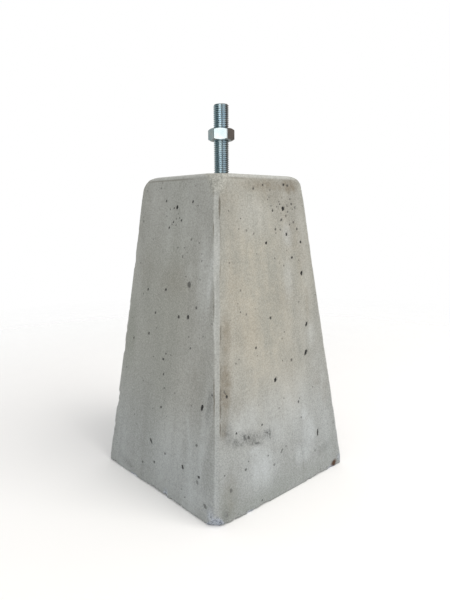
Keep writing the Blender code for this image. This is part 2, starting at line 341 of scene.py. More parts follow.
blockSizes = {  # metres, as the solid has them
    "height": 0.400,
    "footWidth": 0.240,
    "topWidth": 0.150,
    "footChamfer": 0.0045,
    "topChamfer": 0.0064,
    "chamferBulge": 0.25,
    "cornerGrowth": (0.0120, 0.0200, 0.0200, 0.0280),  # at the upright edges: near, right, far, left
    "cornerGrowthHeight": (0.0210, 0.0145, 0.0175, 0.0175),
    "topRound": 0.0040,
    "footRound": 0.0020,
    "holeRadius": 0.0103,
    "holeDepth": 0.1583,
    "seenColumns": 122,  # across each of the two faces that the camera sees
    "hiddenColumns": 62,
    "cornerColumns": 9,
    "sideRows": 192,
    "upperRows": 9,  # closer ones just under the rounded top edge
    "topRows": 24,
    "pitPull": 0.60,  # how much closer together the grid draws round a pit
    "brokenBelow": 0.03,  # the broken places are all lower than this
    "boxMargin": 0.00003,  # how far the surface stays inside the solid's box
    "relief": 0.00025,  # slow unevenness of the faces
    "cornerRoughness": 0.0007,  # broken sand at the upper corners
    "topNicks": 0.0008,
    "footNicks": 0.0018,
    "edgeNicks": (0.0005, 0.0005, 0.0010, 0.0018),  # upright edges: near, right, far, left
    "edgeHollow": (0.0, 0.0, 0.0, 0.0009),  # how far the same edges fall in halfway up
    "edgeFlare": (0.0, 0.0014, 0.0, 0.0007),  # how far they stand out, most of all near the foot
}

faceNumber = {"-Y": 0, "+X": 1, "+Y": 2, "-X": 3}

# Air pits: face, millimetres across from its middle and up from the foot, width, height, tilt in degrees
# anticlockwise, and how dark and deep it is from 0 to 1
airPits = [
    ("-Y", 39, 271, 7.2, 7.4, 20, 0.55), ("-Y", 79, 132, 3.8, 7.2, -4, 1.0),
    ("-Y", 5, 362, 4.4, 5.4, -35, 1.0),
    ("-Y", 41, 232, 4.6, 5.4, 15, 0.9), ("-Y", 23, 230, 4.0, 4.4, -15, 0.8),
    ("-Y", 36, 368, 3.0, 3.2, 0, 1.0),
    ("-Y", -17, 370, 2.6, 3.0, 0, 0.8), ("-Y", -8, 337, 2.8, 2.8, 0, 0.8), ("-Y", 0, 344, 2.8, 2.6, 0, 0.8),
    ("-Y", 6, 348, 2.2, 2.0, 0, 0.55), ("-Y", 12, 349, 2.2, 2.2, 0, 0.5), ("-Y", 16, 346, 2.8, 2.4, 0, 0.75),
    ("-Y", 9, 354, 2.0, 2.0, 0, 0.35), ("-Y", 0, 361, 2.6, 2.2, 30, 0.7),
    ("-Y", -66, 344, 2.2, 2.8, 0, 0.6), ("-Y", -7, 260, 4.2, 3.6, 30, 0.9),
    ("-Y", -46, 256, 2.8, 3.8, 0, 0.9), ("-Y", -56, 249, 2.4, 2.0, 0, 0.5), ("-Y", 38, 324, 2.8, 2.4, 0, 0.5),
    ("-Y", 23, 303, 2.6, 3.0, 0, 0.5), ("-Y", -30, 386, 3.0, 2.2, 0, 0.4), ("-Y", 56, 245, 3.4, 3.2, 0, 0.6),
    ("-Y", -26, 228, 2.8, 3.2, 0, 0.7), ("-Y", -38, 199, 3.4, 3.2, 0, 0.8),
    ("-Y", -73, 187, 3.0, 3.2, 0, 0.9),
    ("-Y", 2, 180, 2.6, 2.8, 0, 0.6), ("-Y", -3, 172, 3.2, 2.8, 0, 0.8), ("-Y", -24, 171, 2.2, 2.0, 0, 0.5),
    ("-Y", 0, 153, 2.8, 2.4, 0, 0.7), ("-Y", 3, 136, 3.0, 2.8, 0, 0.7), ("-Y", 95, 151, 2.8, 3.0, 0, 0.6),
    ("-Y", -1, 110, 3.2, 3.0, 0, 0.8), ("-Y", -18, 104, 2.2, 2.0, 0, 0.5), ("-Y", -18, 60, 2.8, 8.6, 42, 0.8),
    ("-Y", 14, 54, 3.2, 3.4, 20, 0.6), ("-Y", -8, 35, 3.0, 4.0, -10, 0.7), ("-Y", -34, 26, 2.8, 3.2, 0, 0.6),
    ("-Y", 51, 50, 3.0, 6.2, 30, 0.9), ("-Y", 82, 49, 4.4, 3.0, -20, 0.9), ("-Y", 80, 42, 5.0, 3.6, -40, 0.4),
    ("-Y", 74, 85, 4.0, 3.4, 0, 0.5), ("-Y", 97, 20, 6.6, 4.6, -25, 0.45), ("-Y", 50, 196, 2.4, 2.4, 0, 0.6),
    ("-Y", -44, 134, 2.6, 2.2, 0, 0.4), ("-Y", 72, 214, 2.6, 2.4, 0, 0.5), ("-Y", 60, 300, 2.2, 2.4, 0, 0.4),
    ("+X", 33, 359, 5.2, 5.6, 10, 1.0), ("+X", 58, 171, 5.0, 8.8, -38, 1.0),
    ("+X", 63, 208, 3.6, 6.6, -35, 1.0),
    ("+X", -4, 148, 4.6, 6.0, -25, 1.0), ("+X", 61, 276, 4.6, 6.2, -10, 1.0),
    ("+X", 71, 58, 2.8, 9.4, -6, 1.0),
    ("+X", 36, 327, 4.0, 4.6, 0, 1.0), ("+X", -2, 318, 3.4, 3.6, 0, 1.0), ("+X", 63, 316, 3.4, 3.6, 0, 0.9),
    ("+X", -1, 388, 2.8, 2.8, 0, 0.7), ("+X", -18, 383, 2.6, 2.6, 0, 0.7), ("+X", 37, 389, 3.4, 3.2, 0, 0.9),
    ("+X", 44, 388, 3.0, 3.0, 0, 0.8), ("+X", 49, 365, 2.8, 2.6, 0, 0.7), ("+X", 13, 357, 3.2, 2.8, 0, 0.7),
    ("+X", 28, 345, 2.8, 2.8, 0, 0.7), ("+X", 51, 342, 2.8, 2.6, 0, 0.6), ("+X", 16, 334, 2.8, 2.6, 0, 0.7),
    ("+X", 25, 333, 2.4, 2.4, 0, 0.5), ("+X", 57, 333, 2.8, 2.6, 0, 0.7), ("+X", 43, 297, 2.8, 2.8, 0, 0.7),
    ("+X", -23, 330, 2.6, 2.2, 0, 0.4), ("+X", -35, 334, 2.4, 2.2, 0, 0.4),
    ("+X", -52, 265, 2.6, 2.6, 0, 0.4),
    ("+X", -46, 236, 2.6, 2.6, 0, 0.5), ("+X", -5, 226, 3.2, 3.0, 0, 0.8), ("+X", -34, 194, 2.6, 2.8, 0, 0.8),
    ("+X", 18, 205, 2.4, 2.2, 0, 0.4), ("+X", 13, 197, 2.4, 2.2, 0, 0.4), ("+X", 28, 167, 3.4, 3.4, 0, 0.6),
    ("+X", -87, 147, 3.2, 4.0, 35, 0.9), ("+X", -90, 153, 1.7, 7.5, 22, 0.55),
    ("+X", 36, 110, 3.0, 3.0, 0, 0.7), ("+X", -77, 101, 3.0, 3.2, 0, 0.9),
    ("+X", -34, 99, 2.6, 2.6, 0, 0.7), ("+X", -67, 54, 3.4, 2.4, 0, 0.6), ("+X", -44, 7, 3.4, 3.0, 0, 0.7),
    ("+X", -3, 56, 2.8, 6.6, -35, 0.4), ("+X", -18, 43, 3.4, 3.0, 0, 0.4), ("+X", -93, 38, 4.4, 5.2, 0, 0.4),
    ("+X", 27, 365, 2.2, 2.2, 0, 0.55), ("+X", 56, 361, 2.2, 2.4, 0, 0.55), ("+X", 41, 355, 2.4, 2.2, 0, 0.6),
    ("+X", 29, 346, 2.2, 2.2, 0, 0.5), ("+X", 16, 329, 2.4, 2.2, 0, 0.55), ("+X", -47, 336, 2.2, 2.2, 0, 0.5),
    ("+X", 26, 288, 2.2, 2.2, 0, 0.45), ("+X", 8, 373, 2.2, 2.2, 0, 0.45), ("+X", 11, 382, 2.2, 2.2, 0, 0.5),
    ("+X", 47, 371, 2.2, 2.2, 0, 0.5), ("+X", 37, 350, 2.6, 2.4, 0, 0.6), ("+X", 43, 339, 2.4, 2.2, 0, 0.55),
    ("+X", -58, 90, 3.2, 6.0, 20, 0.6), ("+X", 39, 88, 2.4, 2.4, 0, 0.5), ("+X", 62, 36, 2.6, 2.6, 0, 0.4),
    ("+Y", -31, 305, 5.0, 5.2, 0, 1.0), ("+Y", 46, 188, 6.0, 7.2, 20, 1.0), ("+Y", -62, 96, 5.0, 4.6, 0, 0.9),
    ("-X", 22, 334, 4.6, 5.0, 0, 1.0), ("-X", -55, 224, 5.6, 6.2, -20, 1.0),
    ("-X", 67, 121, 6.0, 5.6, 0, 1.0),
]

# Marks on the faces: word, face, millimetres across and up, half width, half height, tilt, strength
faceMarks = [
    ("warm", "+X", -20, 270, 75, 150, 0, 0.95), ("warm", "+X", -62, 195, 35, 85, 0, 0.35),
    ("warm", "+X", 20, 160, 40, 60, 0, 0.6), ("warm", "+X", 60, 290, 26, 80, 0, 0.75),
    ("warm", "-Y", 10, 260, 45, 70, 0, 0.25), ("warm", "-Y", 20, 120, 40, 60, 0, 0.2),
    ("stain", "+X", 10, 387, 42, 8, 0, 0.90), ("stain", "+X", 48, 387, 18, 10, 0, 1.25),
    ("stain", "+X", 16, 380, 22, 16, 0, 0.50), ("stain", "+X", 46, 364, 26, 20, 30, 0.35),
    ("stain", "+X", 48, 330, 16, 26, 0, 0.42), ("stain", "+X", 62, 298, 12, 24, 0, 0.35),
    ("stain", "+X", -56, 352, 14, 34, -6, 0.22), ("stain", "+X", -62, 275, 14, 40, -6, 0.22),
    ("stain", "+X", -81, 214, 8, 28, -6, 0.75), ("stain", "+X", -96, 28, 12, 28, -6, 0.38),
    ("stain", "+X", 24, 140, 16, 34, 8, 0.16), ("stain", "+X", 90, 110, 8, 18, 0, 0.30),
    ("stain", "+X", -89, 156, 10, 36, -6, 1.05),
    ("stain", "+X", -96, 112, 5, 12, -6, 0.90), ("stain", "+X", -68, 374, 10, 20, -6, 0.45),
    ("stain", "+X", -74, 130, 14, 16, 0, 0.30), ("stain", "+X", 67, 236, 4, 22, 0, 0.40),
    ("stain", "+X", 20, 250, 30, 22, 0, 0.20), ("stain", "+X", -50, 216, 30, 22, 0, 0.22),
    ("stain", "+X", 76, 130, 8, 18, 0, 0.35), ("stain", "-Y", -50, 285, 16, 26, 0, 0.20),
    ("stain", "-Y", 10, 275, 30, 20, 0, 0.22), ("stain", "-Y", 66, 150, 14, 40, 0, 0.18),
    ("smear", "+X", -52, 89, 32, 7.5, -16, 0.48), ("smear", "+X", -64, 91, 2.8, 7, 28, 1.30),
    ("smear", "+X", -50, 81.5, 14, 3.0, -20, 1.00), ("smear", "+X", -79, 90, 6, 5, -20, 0.90),
    ("smear", "+X", -70, 87, 5, 4, -20, 0.80), ("smear", "+X", -29, 86, 6, 6, 0, 0.80),
    ("smear", "+X", -22, 85, 2.2, 7, 0, 1.20), ("smear", "+X", -90, 104, 8, 14, 10, 0.55),
    ("smear", "-Y", 92, 137, 5, 20, -6, 0.55), ("smear", "+X", -104, 13, 6, 8, 0, 0.60),
    ("smear", "+X", 80, 34, 14, 6, 10, 0.35),
    ("smear", "-Y", -70, 12, 20, 5, -12, 0.30),
    ("bloom", "+X", 44, 92, 10, 9, 0, 1.0), ("bloom", "+X", 38, 42, 14, 14, 0, 0.9),
    ("bloom", "+X", -38, 46, 26, 28, 0, 0.8), ("bloom", "+X", 30, 110, 34, 44, 20, 0.55),
    ("bloom", "+X", -10, 110, 34, 30, 0, 0.45), ("bloom", "+X", 84, 100, 12, 70, 5, 0.55),
    ("bloom", "+X", 66, 306, 9, 60, 5, 0.35), ("bloom", "-Y", 30, 340, 26, 46, 0, 0.25),
    ("bloom", "-Y", -10, 330, 12, 40, 0, 0.40), ("bloom", "-Y", 40, 284, 12, 12, 0, 0.45),
    ("bloom", "-Y", 59, 92, 2.5, 26, 14, 0.9), ("bloom", "-Y", 40, 60, 50, 50, 0, 0.40),
    ("bloom", "-Y", 74, 24, 30, 22, 0, 0.50), ("bloom", "-Y", -86, 40, 14, 40, -6, 0.30),
    ("bloom", "-Y", 66, 285, 10, 46, 0, 1.0), ("bloom", "-Y", 78, 288, 6, 44, -6, 1.35),
    ("bloom", "+X", 72, 192, 8, 16, 0, 0.8), ("bloom", "+X", 50, 66, 16, 24, 0, 0.8),
    ("bloom", "+X", 38, 326, 9, 14, 0, 0.8), ("bloom", "+X", 32, 268, 9, 24, 0, 0.6),
    ("bloom", "+X", -50, 72, 12, 6, 0, 0.8), ("bloom", "-Y", 87, 92, 8, 80, -6, 0.6),
    ("bloom", "+X", -58, 112, 24, 20, 0, 0.7), ("bloom", "+X", -14, 86, 24, 20, 0, 0.7),
    ("bloom", "+X", -24, 348, 26, 22, 0, 0.5),
    ("damp", "+X", -40, 8, 62, 22, 6, 0.85), ("damp", "+X", 40, 10, 60, 14, 0, 0.45),
    ("damp", "+X", 88, 30, 16, 30, 5, 0.40), ("damp", "-Y", -40, 245, 26, 75, 0, 0.60),
    ("damp", "-Y", -80, 185, 16, 60, -6, 1.0), ("damp", "+X", -98, 18, 18, 26, 0, 1.0),
    ("damp", "-Y", -10, 210, 40, 60, 0, 0.45), ("damp", "-Y", 0, 240, 34, 160, -4, 0.66),
    ("damp", "-Y", -46, 210, 26, 110, -8, 0.50),
    ("porous", "+X", 46, 335, 26, 44, 0, 1.0), ("porous", "+X", 12, 376, 24, 12, 0, 0.8),
    ("porous", "-Y", 6, 345, 16, 16, 0, 0.8), ("porous", "+X", -60, 240, 20, 60, 0, 0.35),
    ("rust", "+X", 101, 5.5, 6.5, 3.6, 20, 1.8), ("fresh", "-Y", 108, 13, 6, 9, 10, 0.62),
    ("fresh", "-Y", 21, 7, 3.4, 4.0, 0, 0.9), ("fresh", "+X", 112, 10, 4, 5, 0, 0.5),
    ("bloom", "-Y", 68, 289, 10, 1.1, 16, 1.6),
]

# Lines of dirt at the sides of the near edge's chamfer: side, millimetres up, half height, strength
edgeLines = [
    ("lineRight", 362, 11, 1.6), ("lineRight", 336, 16, 0.4), ("lineRight", 292, 8, 0.4),
    ("lineRight", 219, 12, 1.0),
    ("lineRight", 176, 10, 0.9), ("lineRight", 150, 9, 1.6), ("lineRight", 134, 9, 1.6),
    ("lineRight", 112, 7, 1.4),
    ("lineLeft", 386, 12, 1.2), ("lineLeft", 337, 7, 0.9), ("lineLeft", 250, 16, 0.5),
    ("lineLeft", 146, 22, 1.2),
    ("lineLeft", 96, 14, 0.4),
]

# The flat break at the foot's near corner: its reach along the left edge, the right edge and up, in mm
flatBreak = (18.5, 16.5, 18.5)

# Breaks: middle of the ball that is taken out and its reach in x, y and z, all in millimetres
breaks = [
    ((122.45, 122.45, -1.5), (7.0, 7.0, 6.0)),
    ((-122.1, 122.1, -1.5), (6.0, 6.0, 8.0)),
    ((20.5, -121.5, 1.0), (5.2, 4.2, 7.2)),
    ((-52.0, -121.0, -1.0), (9.0, 3.6, 4.5)),
    ((121.0, -66.0, -1.0), (3.4, 7.0, 4.4)),
    ((121.0, 94.0, -1.0), (3.6, 8.5, 5.2)),
]


def halfWidth(height):
    # half the width across the flats, straight from the foot to the top
    foot, top = blockSizes["footWidth"], blockSizes["topWidth"]
    return (foot + (top - foot) * height / blockSizes["height"]) / 2


def chamferLeg(height, edge):
    # a straight taper, and a quarter of an ellipse outwards over the last stretch under the top
    s = blockSizes
    straight = s["footChamfer"] + (s["topChamfer"] - s["footChamfer"]) * height / s["height"]
    growth, span = np.array(s["cornerGrowth"])[edge], np.array(s["cornerGrowthHeight"])[edge]
    climb = np.clip(1 - (s["height"] - height) / span, 0, 1)
    return straight + growth * (1 - np.sqrt(1 - climb**2))


def alongFace(up, face, across, half):
    # a face runs from the chamfer at its first edge to the one at its last, whose legs may differ
    first, last = chamferLeg(up, (face - 1) % 4), chamferLeg(up, face)
    span = half - (first + last) / 2
    return first, last, span, across * span + (first - last) / 2


def blockColumns():
    # for each column: its face, how far across the face it is from -1 to 1, and across the corner from 0 to 1
    face, across, corner = [], [], []
    for number in range(4):
        count = blockSizes["seenColumns"] if number < 2 else blockSizes["hiddenColumns"]
        extra = blockSizes["cornerColumns"]
        face.append(np.full(count + extra, number))
        across.append(np.concatenate([np.linspace(-1, 1, count), np.ones(extra)]))
        corner.append(np.concatenate([np.zeros(count), np.arange(1, extra + 1) / (extra + 1)]))
    return np.concatenate(face), np.concatenate(across), np.concatenate(corner)


def seededPits():
    # small pits at random, the same at each run, for the two faces that are nearly without a list
    chance = np.random.default_rng(11)
    found = []
    for face, count in (("+Y", 44), ("-X", 40)):
        for _ in range(count):
            up = chance.uniform(8, 392)
            reach = halfWidth(up / 1000) * 1000 - 10
            size = 1.8 + 2.6 * chance.random() ** 3
            found.append((face, chance.uniform(-reach, reach), up, size, size * chance.uniform(0.8, 1.4),
                          chance.uniform(-40, 40), chance.uniform(0.35, 0.8)))
    return found


def seededMarks():
    # soft clouds for the two hidden faces: the same words as the listed ones, at random places
    chance = np.random.default_rng(5)
    found = []
    for face in ("+Y", "-X"):
        for word, count, strength in (
            ("warm", 3, 0.6), ("stain", 7, 0.4), ("bloom", 8, 0.6),
            ("damp", 4, 0.5), ("smear", 2, 0.5), ("porous", 3, 0.6),
        ):
            for _ in range(count):
                up = chance.uniform(20, 380)
                reach = halfWidth(up / 1000) * 1000 - 5
                across, markWide = chance.uniform(-reach, reach), chance.uniform(8, 40)
                markHigh = chance.uniform(14, 60)
                tilt, strong = chance.uniform(-10, 10), strength * chance.uniform(0.5, 1.2)
                found.append((word, face, across, up, markWide, markHigh, tilt, strong))
    return found


def ellipseReach(across, up, item):
    # how far a point is from the middle of a tilted ellipse, in shares of its half width and half height
    middleAcross, middleUp, wide, high, tilt = item
    turn = math.radians(tilt)
    a, u = across - middleAcross, up - middleUp
    x = (a * math.cos(turn) + u * math.sin(turn)) / wide
    y = (u * math.cos(turn) - a * math.sin(turn)) / high
    return np.sqrt(x * x + y * y)


def buildBlock(finish):
    # the surface is a function of the way round and of the way from the middle of the underside, out to the
    # foot, up the side, over the top edge, in to the rod's hole and down it
    s = blockSizes
    top, hole = s["height"], s["holeRadius"]
    face, across, corner = blockColumns()
    pits = airPits + seededPits()

    # rows: height, inset from the straight taper, and share of the outline (under the foot, or on the top)
    under = np.array([0.03, 0.25, 0.5, 0.75, 0.9, 0.97])
    bend = np.linspace(0, 1, 4)[:-1]
    side = np.concatenate([np.linspace(s["footRound"], top - 0.010, s["sideRows"]),
                           np.linspace(top - 0.010, top - s["topRound"], s["upperRows"])[1:]])
    turn = np.radians(np.linspace(0, 90, 6))[1:]
    inward = np.linspace(0, 1, s["topRows"] + 1)[1:]
    down = np.array([0.0005, 0.002, 0.006, s["holeDepth"]])
    height = np.concatenate([0 * under, bend * s["footRound"], side,
                             top - s["topRound"] * (1 - np.sin(turn)), top + 0 * inward, top - down])
    footBend = s["footRound"] * (1 - np.sqrt(1 - (1 - bend)**2) * 0.6 - bend * 0.4)
    inset = np.concatenate([s["footRound"] + 0 * under, footBend, 0 * side,
                            s["topRound"] * (1 - np.cos(turn)), s["topRound"] + 0 * inward,
                            s["topRound"] + 0 * down])
    share = np.concatenate([under, 1 + 0 * bend, 1 + 0 * side, 1 + 0 * turn, 1 + 0 * inward, 1 + 0 * down])
    toHole = np.concatenate([0 * under, 0 * bend, 0 * side, 0 * turn, inward, 1 + 0 * down])
    onSide = np.concatenate([0 * under, 0 * bend, 1 + 0 * side, 0 * turn, 0 * inward, 0 * down])
    height, inset, share, toHole, onSide = (row[:, None] for row in (height, inset, share, toHole, onSide))

    # draw the grid in round the pits, on the faces alone
    up = height + 0 * across
    along = alongFace(up, face, across, halfWidth(up))[3]
    free = onSide * (corner == 0) * (1 - np.abs(across)**8)
    free = free * easeBetween(up, 0.002, 0.012) * easeBetween(top - up, 0.004, 0.014)
    shiftAlong, shiftUp = np.zeros_like(up), np.zeros_like(up)
    for name, a, u, pitWide, pitHigh, tilt, dark in pits:
        near = ellipseReach(along * 1000, up * 1000, (a, u, pitWide * 1.5, pitHigh * 1.5, tilt))
        pull = s["pitPull"] * np.exp(-near**2) * (face == faceNumber[name]) * free
        shiftAlong -= pull * (along - a / 1000)
        shiftUp -= pull * (up - u / 1000)
    up = up + shiftUp
    half = halfWidth(up) - inset
    first, last, span, along = alongFace(up, face, across, half)
    leg = np.where((corner > 0) | (across > 0), last, first)
    swell = s["chamferBulge"] * last * (2 - math.sqrt(2)) * corner * (1 - corner) * 2
    along = along + last * corner + swell + shiftAlong
    out = half - last * corner + swell

    # from each face's own directions to x and y
    outward = np.radians(face * 90.0 - 90.0)
    outX, outY = np.round(np.cos(outward)), np.round(np.sin(outward))
    x, y = (out * outX - along * outY) * share, (out * outY + along * outX) * share
    angle = np.arctan2(y, x)
    x, y = x + (hole * np.cos(angle) - x) * toHole, y + (hole * np.sin(angle) - y) * toHole
    points = np.stack([x, y, up], -1)
    lean = outward + np.radians(90.0) * corner
    away = np.stack([np.cos(lean) + 0 * up, np.sin(lean) + 0 * up, 0 * up], -1)

    # how near each point is to the upright edges, the foot's edge and the top's edge
    toEdge = np.where(corner > 0, 0, (1 - np.abs(across)) * span)
    edge = np.exp(-(toEdge / 0.0035)**2)
    edgeNumber = np.where((corner > 0) | (across > 0), face, (face - 1) % 4)
    wide = leg * math.sqrt(2)
    acrossEdge = np.where(corner > 0, (corner - 0.5) * wide, -np.sign(across) * (wide / 2 + toEdge)) * 1000
    footWay = np.where(share < 1, (1 - share) * half, up)
    topWay = np.where(toHole > 0, toHole * (half - hole), np.clip(top - s["topRound"] - up, 0, 1))
    footEdge, topEdge = np.exp(-(footWay / 0.0032)**2), np.exp(-(topWay / 0.0022)**2)
    upperCorner = np.exp(-(toEdge / 0.006)**2) * easeBetween(up, top - 0.030, top - 0.012)
    upperCorner = upperCorner * np.exp(-(np.where(toHole > 0, topWay, 0) / 0.006)**2)

    # how far the surface falls in: slow relief, broken edges, rough corners and pits
    wave = layeredNoise(points, 0.045, 21)
    chatter = layeredNoise(points, 0.011, 31)
    sand = layeredNoise(points, 0.0034, 41, 2)
    middle = onSide + (1 - onSide) * 0.4
    fall = s["relief"] * (1 + wave * 0.6) * middle
    roughStretch = 0.35 + 0.65 * easeBetween(up, 0.045, 0.075) * easeBetween(0.30 - up, 0.0, 0.06)
    nick = np.array(s["edgeNicks"])[edgeNumber] * np.clip(chatter * 1.5 + 0.05, 0, 1.4)
    fall += edge * nick * np.where(edgeNumber == 3, roughStretch, 0.7)
    hollow = np.array(s["edgeHollow"])[edgeNumber] * np.sin(np.pi * np.clip(up / top, 0, 1))
    fall += np.exp(-(toEdge / 0.012)**2) * hollow
    flare = np.array(s["edgeFlare"])[edgeNumber] * (0.5 + 0.5 * easeBetween(0.16 - up, 0.0, 0.07))
    fall -= edge * flare * easeBetween(up, 0.001, 0.012) * (toHole == 0)
    fall += upperCorner * s["cornerRoughness"] * (0.6 + sand * 0.6)
    fall += topEdge * s["topNicks"] * np.clip(layeredNoise(points, 0.014, 51) * 1.3 + sand * 0.35, 0, 1.5)
    pit, pitDark = np.zeros_like(up), np.zeros_like(up)
    for name, a, u, pitWide, pitHigh, tilt, dark in pits:
        reach = ellipseReach(along * 1000, up * 1000, (a, u, pitWide / 2, pitHigh / 2, tilt))
        reach = reach * (1 + 0.28 * sand)
        here = (face == faceNumber[name]) * onSide * (corner == 0)
        bowl = np.sqrt(np.clip(1 - (reach / 1.15)**2, 0, 1))
        fall += here * min(pitWide, pitHigh) / 1000 * 0.55 * dark * bowl
        pit = np.maximum(pit, here * (1.5 - reach))
        pitDark = np.maximum(pitDark, here * (0.12 + 0.88 * dark) * (reach < 2.4))
    points -= away * (fall * share * (toHole < 1))[..., None]

    # the foot's edge crumbles inwards and upwards, and the top and the underside are a little uneven
    crumble = np.clip(layeredNoise(points, 0.013, 61) * 1.2 + sand * 0.3 + 0.10, 0, 1.3)
    crumble = s["footNicks"] * footEdge * crumble
    points -= away * (crumble * 0.7)[..., None]
    points[..., 2] += crumble * 0.9
    dip = 0.0003 + 0.0003 * wave + 0.00012 * sand
    points[..., 2] -= easeBetween(toHole, 0.0, 0.1) * (toHole < 1) * dip * (up > top / 2)
    points[..., 2] += (share < 0.95) * (0.0004 + 0.0003 * wave)

    # broken places: what is past the flat break moves straight back onto its uneven plane
    reachX, reachY, rise = (reach / 1000 for reach in flatBreak)
    foot = s["footWidth"] / 2
    raised = halfWidth(rise)
    ends = np.array([(foot - reachX, -foot, 0), (foot, reachY - foot, 0), (raised, -raised, rise)])
    normal = np.cross(ends[1] - ends[0], ends[2] - ends[0])
    normal = normal / np.linalg.norm(normal)
    past = (points - ends[0]) @ normal + 0.0007 * chatter + 0.0003 * sand
    points -= (np.clip(past, 0, 1) * (up < s["brokenBelow"]))[..., None] * normal
    fresh = easeBetween(past, -0.0010, 0.0002)

    # and what is inside a ball moves straight out to its skin, which is uneven too
    for centre, reach in breaks:
        centre, reach = np.array(centre) / 1000, np.array(reach) / 1000
        apart = (points - centre) / reach
        length = np.linalg.norm(apart, axis=-1)
        skin = 1 + 0.10 * sand
        inside = (length < skin) & (up < s["brokenBelow"])
        moved = centre + apart / np.maximum(length, 1e-6)[..., None] * skin[..., None] * reach
        points = np.where(inside[..., None], moved, points)
        fresh = np.maximum(fresh, 1 - easeBetween(length, skin * 0.97, skin * 1.22))
    limit = np.array(cadBox[1])[:2] - s["boxMargin"]
    points[..., :2] = np.clip(points[..., :2], -limit, limit)
    points[..., 2] = np.clip(points[..., 2], 0, top)

    # what the finish reads: pits, worn edges with painted highlights, fresh breaks and the listed marks
    beyond = np.clip(np.abs(acrossEdge) - wide * 500, 0, 99)
    wear = 0.6 * np.exp(-(beyond / 0.8)**2)
    wanderLeft = 1.3 * layeredNoise(points, 0.019, 91, 2)
    wanderRight = 0.9 * layeredNoise(points, 0.016, 95, 2)
    # the near edge: a lighter band on its chamfer, partly real wear and partly a painted highlight, strongest
    # along the chamfer's left border
    nearWearAndHighlight = easeBetween(acrossEdge + wide * 500 + wanderLeft, 0.1, 1.9)
    nearWearAndHighlight *= 1 - easeBetween(acrossEdge - wide * 500 + wanderRight, -1.2, 0.3)
    brighter = 0.82 + 0.33 * easeBetween(up, 0.17, 0.22) * easeBetween(0.37 - up, 0.01, 0.05)
    brighter = brighter * (1 + 0.22 * layeredNoise(points, 0.024, 99, 2))
    nearWearAndHighlight = nearWearAndHighlight * brighter * (1 - 0.65 * easeBetween(acrossEdge, -2.6, 0.4))
    wear = np.where(edgeNumber == 0, nearWearAndHighlight, wear)
    wear = wear * (0.6 + 0.4 * easeBetween(up, 0.0, 0.06)) * (1 - easeBetween(toHole, 0.0, 0.05))
    # painted highlight: the rounded top edge is made lighter, as if it caught more light
    topRoundHighlight = easeBetween(up, top - 0.0046, top - 0.0036) * (1 - easeBetween(toHole, 0.0, 0.12))
    underTop = np.exp(-((up - top + 0.0053) / 0.0007)**2)
    lineOff = 0.8 * (1 - easeBetween(up, 0.20, 0.34)) - 1.4 * easeBetween(up, 0.340, 0.352)
    marks = {
        "pit": pit,
        "pitDark": pitDark,
        "worn": np.clip(np.maximum(wear, topRoundHighlight * 0.8), 0, 1.2) * (up > 0.004),
        "rough": np.clip(upperCorner * np.where(edgeNumber == 0, 1.15, 0.5), 0, 0.9),
        "fresh": fresh * (up < s["brokenBelow"]),
        "line": underTop * np.clip(np.where(face == 1, 0.0, 0.35) + wave, 0, 0.8) * (toEdge > 0.004),
        "fromRight": acrossEdge - wide * 500 - lineOff,
        "fromLeft": acrossEdge + wide * 500,
        "lineRight": np.zeros_like(up),
        "lineLeft": np.zeros_like(up),
    }
    for word in ("warm", "stain", "smear", "bloom", "damp", "porous", "rust"):
        marks[word] = np.zeros_like(up)
    for word, u, markHigh, strength in edgeLines:
        reach = np.abs(up * 1000 - u) / markHigh
        spot = strength * np.exp(-reach**3 * 0.9) * (edgeNumber == 0) * (share == 1) * (toHole == 0)
        marks[word] = np.maximum(marks[word], spot)
    for word, name, a, u, markWide, markHigh, tilt, strength in faceMarks + seededMarks():
        reach = ellipseReach(along * 1000, up * 1000, (a, u, markWide, markHigh, tilt))
        spot = strength * np.exp(-reach**3 * 0.9) * (face == faceNumber[name]) * (toHole == 0) * (share == 1)
        marks[word] = np.maximum(marks[word], spot)
    marks["porous"] = np.maximum(marks["porous"], upperCorner * 0.8)
    marks["stain"] = np.maximum(marks["stain"], (toHole > 0) * (0.16 + 0.3 * np.clip(wave, 0, 1)))
    marks["bloom"] = np.maximum(marks["bloom"], easeBetween(toHole, 0.0, 0.1) * np.clip(-0.9 * wave, 0, 0.8))
    return makePiece("castBlock", points, finish, marks=marks)


# The threaded rod and its nut

rodSizes = {
    "radius": 0.0100,
    "bottom": 0.242,
    "threadStart": 0.394,
    "tip": 0.492,
    "tipChamfer": 0.0015,
    "pitch": 0.0025,
    "depth": 0.00153,
    "columns": 72,
    "rowsPerPitch": 20,
}


